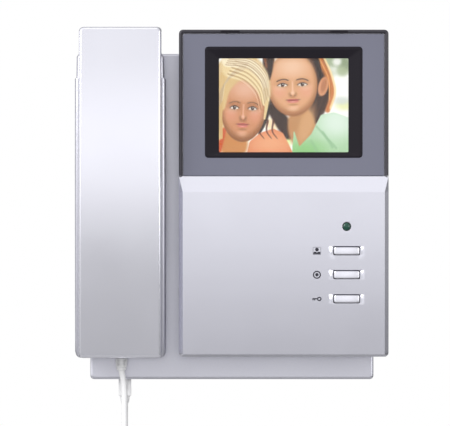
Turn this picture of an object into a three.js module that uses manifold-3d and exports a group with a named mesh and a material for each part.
// Wall-mounted video intercom monitor with a handset.
// Millimetres. +Z is up, the front faces -Y, the wall is the plane Y = 0,
// and the origin is the centre of the base on the wall bracket's back face.

import * as THREE from 'three';
import { mergeVertices } from 'three/addons/utils/BufferGeometryUtils.js';
import Module from 'manifold-3d';

const wasm = await Module();
wasm.setup();

// ---------------------------------------------------------------- driving dimensions

const gap = 0.3; // clearance between pieces that touch
const wall = 2.2; // moulded wall thickness
const arcSteps = 3; // facets on each rounded corner

const base = { halfWidth: 88.3, halfHeight: 101.4, back: -0.4, front: -22, corner: 2.5 };

const block = {
  centreX: 32.15,
  halfWidth: 65.05,
  top: 116,
  split: 25.25, // height where the screen half meets the lower panel
  bottom: -87,
  back: -22.4,
  shoulder: -38.6, // depth where the front pieces meet the housing
  corner: 2,
};

const screenFrame = { front: -46.6, band: 2.4 };
const bezel = { front: -45.6, back: -43.4 };
const cowl = { halfWidth: 48.8, bottom: 36.5, top: 105.3, front: -46, back: -40.4, corner: 2 };
const picture = { halfWidth: 40.5, bottom: 39.6, top: 98.5 };

const panel = { ridge: 15.3, ridgeY: -50.3, radius: 1495, bevel: 2.4, chamfer: 1.5 };

const controlX = 39; // from the centre of the block
const ledZ = -6.2;
const buttonZ = [-21.3, -36.1, -51.1];
const button = { halfWidth: 8, halfHeight: 2.42, proud: 0.3, travel: 1.2 };

const handset = {
  centreX: -69.3,
  coverHalf: 25.6,
  shellHalf: 28.2,
  top: 117.6,
  bottom: -87.7,
  crestY: -60,
  crestZ: 38,
  radius: 900,
  coverDepth: 12,
  cupBack: -22.8,
  gripBack: -35.5,
  lidBack: -40.5,
  corner: 3,
};

const ear = { z: 66, radius: 14.5, back: -17 };
const mouth = { z: -58, radius: 14.5, back: -17 };
const pocket = { half: 16.7, rise: 3, floor: -16, corner: 8 };

const cordRadius = 1.9;
const curlRadius = 7.5;
const plugPlace = { x: -66.8, y: -11.5 };
const exitPlace = { x: -68.7, y: -31 };

// ---------------------------------------------------------------- shape helpers

// A closed geometry as a solid that can be cut and joined.
function solid(geometry) {
  const bare = geometry.clone();
  bare.deleteAttribute('normal');
  bare.deleteAttribute('uv');
  const merged = mergeVertices(bare, 1e-4);
  return new wasm.Manifold(new wasm.Mesh({
    numProp: 3,
    vertProperties: new Float32Array(merged.attributes.position.array),
    triVerts: new Uint32Array(merged.index.array),
  }));
}

// A rectangle with round corners, drawn as seen from the front.
function roundRect(left, right, bottom, top, radius) {
  const shape = new THREE.Shape();
  shape.moveTo(left + radius, bottom);
  shape.lineTo(right - radius, bottom);
  shape.absarc(right - radius, bottom + radius, radius, -Math.PI / 2, 0);
  shape.lineTo(right, top - radius);
  shape.absarc(right - radius, top - radius, radius, 0, Math.PI / 2);
  shape.lineTo(left + radius, top);
  shape.absarc(left + radius, top - radius, radius, Math.PI / 2, Math.PI);
  shape.lineTo(left, bottom + radius);
  shape.absarc(left + radius, bottom + radius, radius, Math.PI, Math.PI * 1.5);
  return shape;
}

function outline(points) {
  return new THREE.Shape(points.map(([u, v]) => new THREE.Vector2(u, v)));
}

// A front-view shape (X right, Z up) made thick from back towards the viewer.
function slab(shape, back, front) {
  const options = { depth: back - front, bevelEnabled: false, curveSegments: arcSteps };
  const geometry = new THREE.ExtrudeGeometry(shape, options);
  geometry.rotateX(Math.PI / 2);
  geometry.translate(0, back, 0);
  return solid(geometry);
}

const sideways = new THREE.Matrix4().makeBasis(
  new THREE.Vector3(0, 1, 0),
  new THREE.Vector3(0, 0, 1),
  new THREE.Vector3(1, 0, 0),
);

// A side-view profile (first number Y, second Z) made long from left to right.
function bar(profile, left, right, steps = arcSteps, edge = 0) {
  const options = {
    depth: right - left - 2 * edge,
    bevelEnabled: edge > 0,
    bevelThickness: edge,
    bevelSize: edge,
    bevelOffset: -edge,
    bevelSegments: 1,
    curveSegments: steps,
  };
  const geometry = new THREE.ExtrudeGeometry(profile, options);
  geometry.applyMatrix4(sideways);
  geometry.translate(left + edge, 0, 0);
  return solid(geometry);
}

function box(left, right, back, front, bottom, top) {
  const geometry = new THREE.BoxGeometry(right - left, back - front, top - bottom);
  geometry.translate((left + right) / 2, (back + front) / 2, (bottom + top) / 2);
  return solid(geometry);
}

// A round rod along Y.
function rod(x, z, radius, back, front, sides = 16) {
  const geometry = new THREE.CylinderGeometry(radius, radius, back - front, sides);
  geometry.translate(x, (back + front) / 2, z);
  return solid(geometry);
}

// A turned piece: points are (radius, height) up the Y axis, from the axis back to the axis.
function turned(points, sides = 16) {
  const profile = points.map(([r, h]) => new THREE.Vector2(r, h));
  return solid(new THREE.LatheGeometry(profile, sides));
}

function joined(solids) {
  return solids.reduce((whole, piece) => whole.add(piece));
}

function cut(whole, solids) {
  return solids.reduce((left, tool) => left.subtract(tool), whole);
}

// ---------------------------------------------------------------- finishes

const finishes = {
  pearl: { color: 0xd9dbe2, roughness: 0.38, metalness: 0.35 },
  silver: { color: 0xc6c8d2, roughness: 0.42, metalness: 0.35 },
  baseGrey: { color: 0xb4b5c0, roughness: 0.45, metalness: 0.3 },
  charcoal: { color: 0x2e2c35, roughness: 0.35, metalness: 0.1 },
  bezelGrey: { color: 0x868898, roughness: 0.5, metalness: 0.2 },
  black: { color: 0x1c1a20, roughness: 0.5, metalness: 0 },
  glass: { color: 0xe8f0f4, roughness: 0.05, metalness: 0 },
  picture: { color: 0xd9b98a, roughness: 0.3, metalness: 0 },
  white: { color: 0xf0f0f2, roughness: 0.5, metalness: 0 },
  green: { color: 0x1f5b45, roughness: 0.25, metalness: 0 },
  board: { color: 0x2c6b3a, roughness: 0.6, metalness: 0 },
  steel: { color: 0xa6a8ab, roughness: 0.4, metalness: 0.9 },
  copper: { color: 0xa8622c, roughness: 0.45, metalness: 0.7 },
};

function mesh(name, shape, finish) {
  const { vertProperties, triVerts } = shape.getMesh();
  const geometry = new THREE.BufferGeometry();
  geometry.setAttribute('position', new THREE.BufferAttribute(vertProperties, 3));
  geometry.setIndex(new THREE.BufferAttribute(triVerts, 1));
  geometry.computeVertexNormals();
  const piece = new THREE.Mesh(geometry, new THREE.MeshStandardMaterial(finishes[finish]));
  piece.name = name;
  return piece;
}

function placed(piece, x, y, z) {
  piece.position.set(x, y, z);
  return piece;
}

// A pan-head screw along Y: the head's underside is at 0 and the shank runs to -length.
function screw(name, length) {
  const head = 2.8;
  const shank = 1.3;
  const shape = turned([[0, -length], [shank, -length], [shank, 0], [head, 0], [head, 1.1], [1.6, 1.7], [0, 1.7]], 8);
  return mesh(name, shape, 'steel');
}

// ---------------------------------------------------------------- base: bracket, case and cover

const windowHalf = 22; // wiring window in the bracket
const windowBottom = 18;
const windowTop = 50;
const hookPlaces = [[-34, 38], [34, 38], [-34, -48], [34, -48]];
const lockX = 20;

function wallBracket() {
  const thick = 1.5;
  const plate = slab(roundRect(-46, 46, -56, 58, 3), 0, -thick);
  const tongue = box(lockX - 8, lockX + 8, 0, -thick, -96, -55);
  const flange = box(lockX - 8, lockX + 8, 0, -11, -96, -94.5);
  const hooks = hookPlaces.map(([x, z]) => {
    const shelf = box(x - 5, x + 5, -0.2, -6.4, z, z + thick);
    return shelf.add(box(x - 5, x + 5, -4.9, -6.4, z, z + 6));
  });
  const holes = [[-30, 5], [30, 5]].map(([x, z]) => rod(x, z, 2.5, 1, -3, 12));
  const opening = slab(roundRect(-windowHalf, windowHalf, windowBottom, windowTop, 3), 1, -3);
  const lockHole = turned([[0, -100], [1.7, -100], [1.7, -90], [0, -90]], 12)
    .rotate([90, 0, 0]).translate([lockX, -6.5, 0]);
  return mesh('wall_bracket', cut(joined([plate, tongue, flange, ...hooks]), [...holes, opening, lockHole]), 'steel');
}

const caseScrews = [[-80, 94], [80, 94], [-80, -94], [80, -94]];
const coverBack = -2.6;
const coverFront = -4.6;

function rearCover() {
  const halfWidth = base.halfWidth - wall - gap;
  const halfHeight = base.halfHeight - wall - gap;
  const plate = slab(roundRect(-halfWidth, halfWidth, -halfHeight, halfHeight, 1), coverBack, coverFront);
  const slots = hookPlaces.map(([x, z]) => box(x - 6, x + 6, 0, -8, z - 1, z + 8));
  const holes = caseScrews.map(([x, z]) => rod(x, z, 1.7, 0, -8, 12));
  const opening = slab(roundRect(-windowHalf - 2, windowHalf + 2, windowBottom - 2, windowTop + 2, 3), 0, -8);
  const notch = box(lockX - 9, lockX + 9, 0, -8, -110, -90);
  return mesh('rear_cover', cut(plate, [...slots, ...holes, opening, notch]), 'baseGrey');
}

const housingScrews = [[-26, 78], [83, 78], [-26, -80], [83, -80]];
const hookZ = ear.z - 9.5;
const ringer = { z: 4, radius: 15 };

// A shape of the handset cradle's pockets, grown by the given margin.
function pocketShape(z, grow) {
  const x = handset.centreX;
  const half = pocket.half + grow;
  return roundRect(x - half, x + half, z - half, z + half + pocket.rise, pocket.corner + grow);
}

// The windows that let the boards' parts and wires through into the monitor housing.
function wireWindows(deep) {
  const lower = slab(roundRect(-17, 79, -77, -6, 3), 0, deep);
  const upper = slab(roundRect(10, 40, 60, 76, 3), 0, deep);
  return [lower, upper];
}

function baseCase() {
  const { halfWidth, halfHeight, back, front, corner } = base;
  const outer = slab(roundRect(-halfWidth, halfWidth, -halfHeight, halfHeight, corner), back, front);
  const inner = slab(
    roundRect(-halfWidth + wall, halfWidth - wall, -halfHeight + wall, halfHeight - wall, 1),
    1,
    front + wall,
  );
  const shell = outer.subtract(inner);
  const cups = [ear, mouth].map((cup) => slab(pocketShape(cup.z, 2), pocket.floor + 2, front));
  const pockets = [ear, mouth].map((cup) => slab(pocketShape(cup.z, 0), pocket.floor, front - 1));
  const bosses = caseScrews.map(([x, z]) => rod(x, z, 3.6, coverFront - gap, front + 1, 12));
  const lockBoss = box(lockX - 5, lockX + 5, -2.8, -12, -halfHeight + 1, -97);
  const pilots = caseScrews.map(([x, z]) => rod(x, z, 1.6, 0, -17, 12));
  const screwHoles = housingScrews.map(([x, z]) => rod(x, z, 1.7, -12, -30, 12));
  const hookHole = rod(handset.centreX, hookZ, 3, -10, -30, 12);
  const grille = [-2, -1, 0, 1, 2].map((step) => {
    const z = ringer.z + step * 4;
    const half = 11 - Math.abs(step) * 1.5;
    return slab(roundRect(handset.centreX - half, handset.centreX + half, z - 0.9, z + 0.9, 0.8), -12, -30);
  });
  const jackHole = box(plugPlace.x - 4.8, plugPlace.x + 4.8, plugPlace.y + 4.2, plugPlace.y - 4.2, -110, -95);
  const lockHole = turned([[0, -102], [3.3, -102], [3.3, -99.2], [1.7, -99.2], [1.7, -90], [0, -90]], 12)
    .rotate([90, 0, 0]).translate([lockX, -6.5, 0]);
  const tools = [...pockets, ...pilots, ...screwHoles, hookHole, ...grille, jackHole, lockHole, ...wireWindows(-30)];
  return mesh('base_case', cut(joined([shell, ...cups, ...bosses, lockBoss]), tools), 'baseGrey');
}

function addBase(unit) {
  unit.add(wallBracket(), rearCover(), baseCase());
  caseScrews.forEach(([x, z], i) => {
    unit.add(placed(screw(`case_screw_${i + 1}`, 11), x, coverBack + gap, z));
  });
  housingScrews.forEach(([x, z], i) => {
    unit.add(placed(screw(`housing_screw_${i + 1}`, 9), x, base.front + wall + gap, z));
  });
  const lockScrew = placed(screw('lock_screw', 10), lockX, -6.5, -99.2 - gap);
  lockScrew.rotation.x = -Math.PI / 2;
  unit.add(lockScrew);
}

// ---------------------------------------------------------------- base: what is inside

const boardBack = -8;
const boardFront = -9.6;

function addBaseInside(unit) {
  const partsBack = boardFront - gap;
  const pieces = [
    mesh('main_board', box(-15, 77, boardBack, boardFront, -75, -8), 'board'),
    mesh('power_transformer', box(48, 74, partsBack, -32, -70, -46), 'copper'),
    mesh('capacitor_large', rod(6, -60, 6.5, partsBack, -32), 'charcoal'),
    mesh('capacitor_small', rod(24, -60, 4.5, partsBack, -24, 12), 'charcoal'),
    mesh('door_relay', box(-8, 10, partsBack, -25, -38, -24), 'black'),
    mesh('terminal_block', box(-20, 20, coverFront - gap, -16, 54, 64), 'white'),
    mesh('ringer_speaker', ringerSpeaker(), 'black'),
    mesh('hook_switch', box(handset.centreX - 6, handset.centreX + 6, coverFront - gap, -8.4, hookZ - 3, hookZ + 3), 'black'),
    mesh('hook_plunger', hookPlunger(), 'white'),
    mesh('handset_jack', handsetJack(), 'black'),
  ];
  unit.add(...pieces);
}

function ringerSpeaker() {
  const profile = [[0, -19.4], [ringer.radius, -19.4], [ringer.radius, -16.5], [9, -12], [9, -7], [0, -7]];
  return turned(profile, 20).translate([handset.centreX, 0, ringer.z]);
}

const plungerTravel = 3;

// The tip rests just behind the handset's ear boss; the flange leaves room for the travel.
function hookPlunger() {
  const tip = ear.back + gap;
  const flangeFront = pocket.floor + 2 + plungerTravel + gap;
  const profile = [[0, tip], [1.8, tip], [2.5, tip + 0.7], [2.5, flangeFront], [4.4, flangeFront], [4.4, -8.9], [0, -8.9]];
  return turned(profile, 12).translate([handset.centreX, 0, hookZ]);
}

function handsetJack() {
  const { x, y } = plugPlace;
  const body = box(x - 7, x + 7, y + 6.4, y - 6.4, -98.9, -86);
  const socket = box(x - 4.3, x + 4.3, y + 3.7, y - 3.7, -110, -90);
  return body.subtract(socket);
}

// ---------------------------------------------------------------- monitor block

const wheelZ = [-2, -24];
const wheel = { radius: 8, back: -28.5, front: -31.5, proud: 0.8 };
const switchZ = -46;
const housingHalf = block.halfWidth - 1;

function monitorHousing() {
  const bottom = block.bottom + 1;
  const top = block.top - 1;
  const outer = slab(roundRect(-housingHalf, housingHalf, bottom, top, block.corner), block.back, block.shoulder);
  const inner = slab(
    roundRect(-housingHalf + 2, housingHalf - 2, bottom + 2, top - 2, 1),
    block.back - 2,
    block.shoulder - 1,
  );
  const toLocal = (x) => x - block.centreX;
  const bosses = housingScrews.map(([x, z]) => rod(toLocal(x), z, 3.6, block.back - 1, -34, 12));
  const pilots = housingScrews.map(([x, z]) => rod(toLocal(x), z, 1.6, -20, -33, 12));
  const windows = wireWindows(-30).map((hole) => hole.translate([-block.centreX, 0, 0]));
  const wheelSlots = wheelZ.map((z) => box(housingHalf - 4, housingHalf + 2, -27.9, -32.1, z - 7.2, z + 7.2));
  const switchSlot = box(housingHalf - 4, housingHalf + 2, -27.9, -32.1, switchZ - 5.2, switchZ + 5.2);
  const vents = [];
  for (let x = -45; x <= 45; x += 9) {
    vents.push(box(x - 1.2, x + 1.2, -26, -35, top - 4, top + 2));
  }
  const tools = [...pilots, ...windows, ...wheelSlots, switchSlot, ...vents];
  return mesh('monitor_housing', cut(joined([outer.subtract(inner), ...bosses]), tools), 'silver');
}

function monitorFrame() {
  const { halfWidth, top, split, shoulder, corner } = block;
  const { front, band } = screenFrame;
  const outer = slab(roundRect(-halfWidth, halfWidth, split - 10, top, corner), shoulder - gap, front);
  const inner = slab(roundRect(-halfWidth + band, halfWidth - band, 0, top - band, 0.8), 0, front - 1);
  const below = box(-halfWidth - 1, halfWidth + 1, 0, front - 1, 0, split);
  const latches = [[-39.2, -27.4], [28.7, 39.8]].map(([left, right]) =>
    box(left, right, bezel.back, front - 1, top - band - 1, top - band + 0.8));
  return mesh('monitor_frame', cut(outer, [inner, below, ...latches]), 'charcoal');
}

function monitorBezel() {
  const half = block.halfWidth - screenFrame.band - gap;
  const top = block.top - screenFrame.band - gap;
  const plate = slab(roundRect(-half, half, block.split, top, 0.6), bezel.back, bezel.front);
  const ribs = slab(roundRect(-half, half, block.split, top, 0.6), block.shoulder - gap, bezel.back - 0.5)
    .subtract(slab(roundRect(-half + 2, half - 2, block.split + 2, top - 2, 0.6), 0, bezel.front));
  const opening = slab(
    roundRect(-cowl.halfWidth - gap, cowl.halfWidth + gap, cowl.bottom - gap, cowl.top + gap, cowl.corner),
    0,
    -60,
  );
  return mesh('monitor_bezel', plate.add(ribs).subtract(opening), 'bezelGrey');
}

const glassBack = -41.4;
const glassFront = -42.8;

function screenCowl() {
  const outer = slab(roundRect(-cowl.halfWidth, cowl.halfWidth, cowl.bottom, cowl.top, cowl.corner), cowl.back, cowl.front);
  const opening = slab(roundRect(-picture.halfWidth, picture.halfWidth, picture.bottom, picture.top, 0.5), 0, -60);
  const rebate = box(
    -picture.halfWidth - 2.2,
    picture.halfWidth + 2.2,
    0,
    glassFront - gap,
    picture.bottom - 2.2,
    picture.top + 2.2,
  );
  return mesh('screen_cowl', cut(outer, [opening, rebate]), 'black');
}

// A flat layer of the display stack, larger than the picture by the given margin.
function layer(name, margin, back, front, finish) {
  const half = picture.halfWidth + margin;
  return mesh(name, box(-half, half, back, front, picture.bottom - margin, picture.top + margin), finish);
}

function lcdTray() {
  const half = picture.halfWidth + 5;
  const bottom = picture.bottom - 4.4;
  const top = picture.top + 5;
  const tray = box(-half, half, -33.4, -39, bottom, top);
  return tray.subtract(box(-half + 1, half - 1, -34.4, -50, bottom + 1, top - 1));
}

// Depth of the lower panel's arched face at a height.
function faceY(z) {
  return panel.ridgeY + (panel.ridge - z) ** 2 / (2 * panel.radius);
}

function panelProfile(inset, back) {
  const centreY = panel.ridgeY + panel.radius;
  const radius = panel.radius - inset;
  const bottom = block.bottom + inset;
  const chamferTop = bottom + panel.chamfer;
  const drop = Math.asin((panel.ridge - chamferTop) / radius);
  const top = block.split - gap - inset;
  const shape = new THREE.Shape();
  shape.moveTo(back, top);
  shape.lineTo(bezel.front + inset, top);
  shape.lineTo(panel.ridgeY + inset, panel.ridge);
  shape.absarc(centreY, panel.ridge, radius, Math.PI, Math.PI + drop);
  shape.lineTo(centreY - radius * Math.cos(drop) + panel.chamfer, bottom);
  shape.lineTo(back, bottom);
  return shape;
}

// A shallow scoop behind each button, deepest along its upper edge.
function scoop(z) {
  const y = faceY(z);
  const half = 11.5;
  const profile = outline([[y - 1, z + 3], [y + 1.3, z + 3], [y - 0.05, z - 3.4], [y - 1, z - 3.4]]);
  return bar(profile, controlX - half, controlX + half);
}

function frontPanel() {
  const { halfWidth, shoulder } = block;
  const outer = bar(panelProfile(0, shoulder + 4), -halfWidth, halfWidth, 10, panel.bevel);
  const trimmed = outer.subtract(box(-80, 80, 0, shoulder - gap, -100, 60));
  const inner = bar(panelProfile(wall, shoulder + 4), -halfWidth + wall, halfWidth - wall, 10);
  const holes = buttonZ.map((z) => box(
    controlX - button.halfWidth - gap,
    controlX + button.halfWidth + gap,
    -40,
    -60,
    z - button.halfHeight - gap,
    z + button.halfHeight + gap,
  ));
  const ledHole = rod(controlX, ledZ, 2.7, -40, -60, 16);
  return mesh('front_panel', cut(trimmed, [inner, ledHole, ...buttonZ.map(scoop), ...holes]), 'silver');
}

const keypad = { back: -37.4, front: -39 };

// The cap, its retaining flange and its stem; Y = 0 is the panel's face.
function pushButton(name) {
  const { halfWidth, halfHeight, proud } = button;
  const cap = slab(roundRect(-halfWidth, halfWidth, -halfHeight, halfHeight, 0.7), 3, -proud);
  const flange = box(-halfWidth - 1.3, halfWidth + 1.3, 3.8, 2.7, -halfHeight - 1.2, halfHeight + 1.2);
  return mesh(name, joined([cap, flange, rod(0, 0, 1.5, 5, 2.8, 10)]), 'pearl');
}

function addControls(group) {
  const names = ['monitor_button', 'talk_button', 'door_button'];
  names.forEach((name, i) => {
    const z = buttonZ[i];
    group.add(placed(pushButton(name), controlX, faceY(z), z));
    const tip = faceY(z) + 5 + button.travel + gap;
    const key = box(controlX - 3, controlX + 3, keypad.front - gap, tip, z - 3, z + 3);
    group.add(mesh(`tact_switch_${i + 1}`, key, 'black'));
  });
  group.add(mesh('keypad_board', box(24, 56, keypad.back, keypad.front, -60, 2), 'board'));
  group.add(mesh('power_led', rod(controlX, ledZ, 1.8, keypad.front - gap, -45.2, 12), 'green'));
  const y = faceY(ledZ);
  const lens = turned([[0, y - 0.6], [1.3, y - 0.4], [2.3, y + 0.2], [2.3, y + 2.5], [3.6, y + 2.5], [3.6, y + 3.5],
    [0, y + 3.5]], 16);
  group.add(mesh('led_lens', lens.translate([controlX, 0, ledZ]), 'green'));
}

function addSideControls(group) {
  const centre = housingHalf + wheel.proud - wheel.radius;
  ['brightness', 'volume'].forEach((name, i) => {
    const disc = rod(0, 0, wheel.radius, wheel.back, wheel.front, 24);
    group.add(placed(mesh(`${name}_wheel`, disc, 'black'), centre, 0, wheelZ[i]));
    const pot = box(-5, 5, block.back - 2 - gap, wheel.back + gap, -5, 5);
    group.add(placed(mesh(`${name}_pot`, pot, 'board'), centre, 0, wheelZ[i]));
  });
  const knob = box(-1.7, 1.9, -28.4, -31.6, -1.6, 1.6);
  group.add(placed(mesh('power_switch_knob', knob, 'black'), housingHalf - 1, 0, switchZ + 2));
  const body = box(housingHalf - 9, housingHalf - 3, -27, -33, switchZ - 7, switchZ + 7);
  group.add(mesh('power_switch_body', body, 'steel'));
}

function monitorBlock() {
  const group = new THREE.Group();
  group.position.x = block.centreX;
  group.add(monitorHousing(), monitorFrame(), monitorBezel(), screenCowl(), frontPanel());
  group.add(
    layer('screen_window', 1.8, glassBack, glassFront, 'glass'),
    layer('lcd_panel', 1.8, glassBack + gap + 1.4, glassBack + gap, 'picture'),
    layer('backlight_unit', 3, -34.8, -39.2, 'white'),
    mesh('lcd_tray', lcdTray(), 'steel'),
    mesh('display_board', box(-46, 46, -30.4, -32, 34, 106), 'board'),
  );
  addControls(group);
  addSideControls(group);
  return group;
}

// ---------------------------------------------------------------- handset

// Depth of the handset's arched front at a height.
function crownY(z) {
  return handset.crestY + (z - handset.crestZ) ** 2 / (2 * handset.radius);
}

// The side view between two arcs that follow the handset's front, each a depth behind it.
function arcBand(frontDepth, backDepth, bottom, top) {
  const { crestY, crestZ, radius } = handset;
  const centreY = crestY + radius;
  const angles = (depth) => [
    Math.PI - Math.asin((top - crestZ) / (radius - depth)),
    Math.PI + Math.asin((crestZ - bottom) / (radius - depth)),
  ];
  const [frontTop, frontBottom] = angles(frontDepth);
  const [backTop, backBottom] = angles(backDepth);
  const shape = new THREE.Shape();
  shape.absarc(centreY, crestZ, radius - frontDepth, frontTop, frontBottom);
  shape.absarc(centreY, crestZ, radius - backDepth, backBottom, backTop, true);
  return shape;
}

const handsetScrews = [22, -18];

function handsetCover() {
  const { coverHalf, bottom, top, corner, coverDepth } = handset;
  const face = slab(roundRect(-coverHalf, coverHalf, bottom, top, corner), 0, -80);
  const outer = bar(arcBand(0, coverDepth, bottom - 2, top + 2), -coverHalf, coverHalf, 14).intersect(face);
  const room = slab(roundRect(-coverHalf + 2, coverHalf - 2, bottom + 2, top - 2, corner - 1), 0, -80);
  const inner = bar(arcBand(2, coverDepth + 4, bottom - 2, top + 2), -coverHalf, coverHalf, 14).intersect(room);
  const bosses = handsetScrews.map((z) => rod(0, z, 3.4, crownY(z) + coverDepth - 0.4, crownY(z) + 1, 12));
  const pilots = handsetScrews.map((z) => rod(0, z, 1.6, crownY(z) + coverDepth + 2, crownY(z) + 5, 12));
  return mesh('handset_cover', cut(joined([outer.subtract(inner), ...bosses]), pilots), 'pearl');
}

// The rear shell's side view: thin lid, ear cup, slim grip, mouth cup.
function shellProfile(inset, frontDepth) {
  const { crestY, crestZ, radius, bottom, top, cupBack, gripBack, lidBack } = handset;
  const reach = radius - frontDepth;
  const centreY = crestY + radius;
  const cup = cupBack - inset;
  const grip = gripBack - inset;
  const lid = lidBack - inset;
  const shape = new THREE.Shape();
  const start = Math.PI - Math.asin((top - inset - crestZ) / reach);
  const end = Math.PI + Math.asin((crestZ - bottom - inset) / reach);
  shape.absarc(centreY, crestZ, reach, start, end);
  shape.lineTo(cup, bottom + inset);
  shape.lineTo(cup, -36 - inset);
  shape.bezierCurveTo(cup, -27 - inset, grip, -30 + inset, grip, -22);
  shape.lineTo(grip, 28);
  shape.bezierCurveTo(grip, 38 - inset, cup, 34 + inset, cup, 43 + inset);
  shape.lineTo(cup, 92 - inset);
  shape.lineTo(lid, 100.5 - inset);
  shape.lineTo(lid, top - inset);
  return shape;
}

// The rear shell's front view: narrow behind the cover's top end, wider from the ear cup down.
function shellOutline(inset) {
  const { coverHalf, shellHalf, bottom, top } = handset;
  const narrow = coverHalf - inset;
  const wide = shellHalf - inset;
  const low = bottom + inset;
  const high = top - inset;
  return outline([[-narrow, high - 3], [-narrow, 100.5], [-wide + 0.8, 97.5], [-wide, 86], [-wide, low + 4],
    [-wide + 1.2, low + 1.2], [-wide + 4, low], [wide - 4, low], [wide - 1.2, low + 1.2], [wide, low + 4],
    [wide, 86], [wide - 0.8, 97.5], [narrow, 100.5], [narrow, high - 3], [narrow - 3, high], [-narrow + 3, high]]);
}

function earHoles() {
  const holes = [rod(0, ear.z, 1.1, 0, -22, 8)];
  for (let i = 0; i < 6; i += 1) {
    const angle = (i * Math.PI) / 3;
    holes.push(rod(4 * Math.cos(angle), ear.z + 4 * Math.sin(angle), 1.1, 0, -22, 8));
  }
  return holes;
}

function handsetShell() {
  const { coverDepth, cupBack, shellHalf } = handset;
  const outer = bar(shellProfile(0, coverDepth + gap), -shellHalf, shellHalf, 6).intersect(slab(shellOutline(0), 0, -80));
  const inner = bar(shellProfile(2, coverDepth - 6), -shellHalf, shellHalf, 6).intersect(slab(shellOutline(2), 0, -80));
  const bosses = [ear, mouth].map((cup) => rod(0, cup.z, cup.radius, cup.back, cupBack - 1, 24));
  const hollows = [ear, mouth].map((cup) => rod(0, cup.z, cup.radius - 2, cup.back - 2, cupBack - 3, 20));
  const screwHoles = handsetScrews.map((z) => rod(0, z, 1.7, 0, -60, 12));
  const voiceHole = rod(0, mouth.z, 1.5, 0, -22, 8);
  const bootHole = turned([[0, -90], [3.5, -90], [3.5, -80], [0, -80]], 12)
    .rotate([90, 0, 0]).translate([exitPlace.x - handset.centreX, exitPlace.y, 0]);
  const tools = [inner, ...hollows, ...screwHoles, voiceHole, bootHole, ...earHoles()];
  return mesh('handset_shell', cut(joined([outer, ...bosses]), tools), 'pearl');
}

// The strain relief: a flange inside the shell, a neck through its wall and a tapered sleeve below.
function cordBoot() {
  const low = handset.bottom;
  const profile = [[0, low - 8], [2.8, low - 8], [3.9, low - 1], [3.9, low - gap], [3.1, low - gap],
    [3.1, low + 2 + gap], [4.6, low + 2 + gap], [4.6, low + 4], [0, low + 4]];
  const piece = mesh('cord_boot', turned(profile, 16), 'white');
  piece.rotation.x = Math.PI / 2;
  return placed(piece, exitPlace.x - handset.centreX, exitPlace.y, 0);
}

function handsetGroup() {
  const group = new THREE.Group();
  group.position.x = handset.centreX;
  group.add(handsetCover(), handsetShell(), cordBoot());
  group.add(
    mesh('receiver_capsule', rod(0, ear.z, 12, ear.back - 2 - gap, -28, 20), 'black'),
    mesh('microphone_capsule', rod(0, mouth.z, 5, mouth.back - 2 - gap, -25, 12), 'steel'),
    mesh('ballast_weight', box(-13, 13, -38, -43.5, -11, 15), 'steel'),
  );
  handsetScrews.forEach((z, i) => {
    group.add(placed(screw(`handset_screw_${i + 1}`, 15), 0, handset.gripBack + gap, z));
  });
  return group;
}

// ---------------------------------------------------------------- handset cord

const tailEnd = -146; // height where the straight tails meet the curly part
const curlBottom = -206;

function tube(points, radius, sides, steps, tension) {
  const path = new THREE.CatmullRomCurve3(points.map((p) => new THREE.Vector3(...p)), false, 'catmullrom', tension);
  const section = new THREE.Shape();
  for (let i = 0; i < sides; i += 1) {
    const angle = (i * 2 * Math.PI) / sides;
    const x = radius * Math.cos(angle);
    const y = radius * Math.sin(angle);
    if (i === 0) section.moveTo(x, y);
    else section.lineTo(x, y);
  }
  return solid(new THREE.ExtrudeGeometry(section, { steps, extrudePath: path, bevelEnabled: false }));
}

function cordPieces() {
  const { x, y } = plugPlace;
  const upper = [
    [exitPlace.x, exitPlace.y, handset.bottom - 8 - gap],
    [-68.1, -31, -99],
    [-67.4, -31, -103],
    [-66.9, -31, -109],
    [x, -31, -120],
    [x, -31, tailEnd],
  ];
  const lower = [[x, y, -117.3], [x, y, tailEnd]];
  const turnRadius = (y - exitPlace.y) / 2;
  const middle = exitPlace.y + turnRadius;
  const curl = [[x, exitPlace.y, tailEnd - gap], [x, exitPlace.y, (tailEnd + curlBottom) / 2]];
  for (let i = 0; i <= 8; i += 1) {
    const angle = (i * Math.PI) / 8;
    curl.push([x, middle - turnRadius * Math.cos(angle), curlBottom - turnRadius * Math.sin(angle)]);
  }
  curl.push([x, y, (tailEnd + curlBottom) / 2], [x, y, tailEnd - gap]);
  const body = box(x - 3.9, x + 3.9, y + 3.3, y - 3.3, -112, -90.5);
  const neck = turned([[0, -117], [2.4, -117], [3.2, -111.5], [0, -111.5]], 12).rotate([90, 0, 0]).translate([x, y, 0]);
  return [
    mesh('cord_tail_upper', tube(upper, cordRadius, 8, 12, 0.5), 'white'),
    mesh('cord_curl', tube(curl, curlRadius, 12, 24, 0.5), 'white'),
    mesh('cord_tail_lower', tube(lower, cordRadius, 8, 4, 0.5), 'white'),
    mesh('cord_plug', body.add(neck), 'white'),
  ];
}

// ---------------------------------------------------------------- the whole unit

const intercom = new THREE.Group();
addBase(intercom);
addBaseInside(intercom);
intercom.add(monitorBlock(), handsetGroup(), ...cordPieces());

export default intercom;
